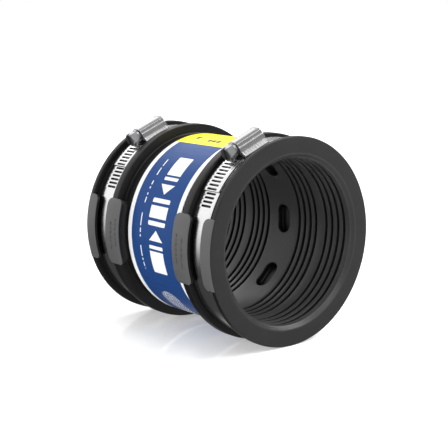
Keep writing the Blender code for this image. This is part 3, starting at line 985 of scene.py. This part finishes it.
def screw_ring(y, radius_at):
    """A ring about the screw's own axis. radius_at gives the radius at each turn of it."""
    points = []
    for k in range(SCREW_SEGMENTS):
        turn = 2 * pi * k / SCREW_SEGMENTS
        radius = radius_at(turn)
        points.append(Vector((radius * cos(turn), y, radius * sin(turn))))
    return points


def thread_radius(y, turn, pitch):
    """A right-handed thread. The flanks run between the two stated parts of a pitch from a crest's middle."""
    crest_distance = (y / pitch + (turn + pi / 2) / (2 * pi)) % 1.0
    from_crest = min(crest_distance, 1 - crest_distance)
    height = min(1.0, max(0.0, (THREAD_ROOT_START - from_crest) / (THREAD_ROOT_START - THREAD_CREST_END)))
    return THREAD_ROOT + (THREAD_CREST - THREAD_ROOT) * height


def head_radius(turn, cone):
    """A hexagon whose corners are cut back by the cone that a lathe leaves."""
    flat = HEX_ACROSS_FLATS / 2 / cos((turn % (pi / 3)) - pi / 6)
    return min(flat, cone)


def screw_sections():
    corner = HEX_ACROSS_FLATS / 2 / cos(pi / 6)
    inside = HEX_ACROSS_FLATS / 2 * 0.90
    sections = [screw_ring(HEX_NEAR, lambda turn: inside * 0.55), screw_ring(HEX_NEAR, lambda turn: inside)]
    for k in range(1, 6):
        cone = inside + (corner - inside) * k / 5
        y = HEX_NEAR + HEX_CHAMFER * k / 5
        sections.append(screw_ring(y, lambda turn, cone=cone: head_radius(turn, cone)))
    fillet = SCREW_ROUNDING
    sections.append(screw_ring(COLLAR_NEAR, lambda turn: head_radius(turn, corner)))
    for centre_y, start in ((COLLAR_NEAR + fillet, 90), (COLLAR_FAR - fillet, 0)):
        for k in range(4):
            angle = radians(start - 30 * k)
            radius = COLLAR_RADIUS - fillet + fillet * cos(angle)
            y = centre_y - fillet * sin(angle)
            sections.append(screw_ring(y, lambda turn, radius=radius: radius))
    sections.append(screw_ring(COLLAR_FAR, lambda turn: NECK_RADIUS))
    sections.append(screw_ring(THREAD_NEAR, lambda turn: NECK_RADIUS))
    pitch = SLOT_PITCH * (TAIL_RADIUS + STRIP_THICKNESS / 2)
    rows = round((THREAD_FAR - THREAD_NEAR) / pitch * ROWS_PER_TURN)
    for row in range(rows + 1):
        y = THREAD_NEAR + (THREAD_FAR - THREAD_NEAR) * row / rows
        sections.append(screw_ring(y, lambda turn, y=y: thread_radius(y, turn, pitch)))
    sections.append(screw_ring(THREAD_FAR, lambda turn: NECK_RADIUS))
    sections.append(screw_ring(TIP_FAR - fillet, lambda turn: NECK_RADIUS))
    sections.append(screw_ring(TIP_FAR, lambda turn: NECK_RADIUS - fillet))
    return sections


def build_screw(end, place, material):
    axis = place @ Matrix.Translation((0, 0, SCREW_HEIGHT))
    points, faces = lofted(screw_sections())
    screw = add_object(end + "_slotted_screw", [axis @ point for point in points], faces)
    half = DRIVER_SLOT_WIDTH / 2
    reach = HEX_ACROSS_FLATS
    sections = []
    for y in (HEX_NEAR - reach, HEX_NEAR + DRIVER_SLOT_DEPTH):
        outline = [(-half, -reach), (half, -reach), (half, reach), (-half, reach)]
        sections.append([axis @ Vector((x, y, z)) for x, z in outline])
    apply_boolean(screw, *lofted(sections), "DIFFERENCE")
    smooth(screw.data, 30)
    screw.data.materials.clear()
    screw.data.materials.append(material)
    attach(screw, end + "_screw")
    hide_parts(end + "_worm_screw")


def build_clamp(end, tail_turns, strip_steel, slot_wall_shade, stamped_steel, screw_steel):
    joint = next(j for j in frame["joints"] if j["name"] == end + "_screw_turn")
    tilt = atan2(joint["axis"][2], joint["axis"][1])
    place = Matrix.Translation((joint["pos_m"][0], 0, 0)) @ Matrix.Rotation(tilt, 4, "X")
    build_strip(end, place, tail_turns, strip_steel, slot_wall_shade)
    build_saddle(end, place, stamped_steel)
    build_housing(end, place, stamped_steel)
    build_screw(end, place, screw_steel)


# Camera, floor and light


def add_camera():
    right = Vector((cos(CAMERA_AZIMUTH), sin(CAMERA_AZIMUTH), 0))
    flat = cos(CAMERA_ELEVATION)
    back = Vector((sin(CAMERA_AZIMUTH) * flat, -cos(CAMERA_AZIMUTH) * flat, sin(CAMERA_ELEVATION)))
    up = back.cross(right)
    camera = bpy.data.objects.new("camera", bpy.data.cameras.new("camera"))
    bpy.context.scene.collection.objects.link(camera)
    camera.data.lens = CAMERA_LENS
    camera.location = right * CAMERA_AIM_RIGHT + up * CAMERA_AIM_UP + back * CAMERA_DISTANCE
    camera.rotation_euler = (-back).to_track_quat("-Z", "Y").to_euler()
    bpy.context.scene.camera = camera


def add_floor():
    half = FLOOR_SIZE / 2
    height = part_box("sleeve")[0].z
    corners = [(-half, -half, height), (half, -half, height), (half, half, height), (-half, half, height)]
    floor = add_object("studio_floor", corners, [(0, 1, 2, 3)])
    material, tree, shader = new_material("floor_paint")
    shader.inputs["Base Color"].default_value = FLOOR_COLOUR
    shader.inputs["Roughness"].default_value = FLOOR_ROUGHNESS
    shader.inputs["Emission Color"].default_value = (1, 1, 1, 1)
    on_plan = vector_math(tree, "MULTIPLY", object_coordinates(tree), (1.0, 1.0, 0.0))
    distance = vector_math(tree, "LENGTH", on_plan)
    glow = smooth_range(tree, distance, *FLOOR_GLOW_REACH, *FLOOR_GLOW)
    tree.links.new(glow, shader.inputs["Emission Strength"])
    floor.data.materials.append(material)
    floor.visible_glossy = False


def add_world():
    """A room with a wide bright wall at the left, a dark corner low at the left, and windows high up round
    the object. The camera sees it plain white."""
    world = bpy.data.worlds.new("studio")
    bpy.context.scene.world = world
    world.use_nodes = True
    tree = world.node_tree
    background = tree.nodes["Background"]
    background.inputs["Color"].default_value = (1, 1, 1, 1)
    direction = tree.nodes.new("ShaderNodeTexCoord").outputs["Generated"]
    light = ROOM_LIGHT
    for centre, edge_dot, core_dot, strength in WALL_LIGHTS:
        toward = vector_math(tree, "DOT_PRODUCT", direction, Vector(centre).normalized())
        light = math(tree, "ADD", light, smooth_range(tree, toward, edge_dot, core_dot, 0.0, strength))
    seen = tree.nodes.new("ShaderNodeLightPath").outputs["Is Camera Ray"]
    tree.links.new(math(tree, "MAXIMUM", light, seen), background.inputs["Strength"])


def add_softbox(name, place, size, power):
    """A soft rectangular light that faces the object."""
    light = bpy.data.lights.new(name, "AREA")
    light.shape = "RECTANGLE"
    light.size, light.size_y = size
    light.energy = power
    obj = bpy.data.objects.new(name, light)
    bpy.context.scene.collection.objects.link(obj)
    obj.location = place
    obj.rotation_euler = (-Vector(place)).to_track_quat("-Z", "Y").to_euler()
    obj.visible_camera = False
    obj.visible_glossy = False


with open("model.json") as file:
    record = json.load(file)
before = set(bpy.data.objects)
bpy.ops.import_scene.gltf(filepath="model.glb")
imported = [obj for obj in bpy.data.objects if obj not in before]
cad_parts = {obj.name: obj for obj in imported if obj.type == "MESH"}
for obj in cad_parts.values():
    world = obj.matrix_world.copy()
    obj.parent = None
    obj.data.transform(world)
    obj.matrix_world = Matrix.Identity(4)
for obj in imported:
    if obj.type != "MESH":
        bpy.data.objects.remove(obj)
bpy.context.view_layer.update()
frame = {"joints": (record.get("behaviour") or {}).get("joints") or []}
bpy.context.scene.view_settings.view_transform = "Standard"
add_camera()
add_floor()
add_world()
for softbox in SOFTBOXES:
    add_softbox(*softbox)

build_sleeve(rubber_material())
build_label(label_material())
strip_steel = strip_steel_material()
stamped_steel = stamped_steel_material("stamped_steel_sheet", *STAMPED_STEEL)
screw_steel = stamped_steel_material("plated_screw_steel", *SCREW_STEEL)
slot_wall_shade = stamped_steel_material("slot_wall_shade_steel", *SLOT_WALL_SHADE)
build_clamp("front", 0, strip_steel, slot_wall_shade, stamped_steel, screw_steel)
build_clamp("rear", REAR_TAIL_TURNS, strip_steel, slot_wall_shade, stamped_steel, screw_steel)
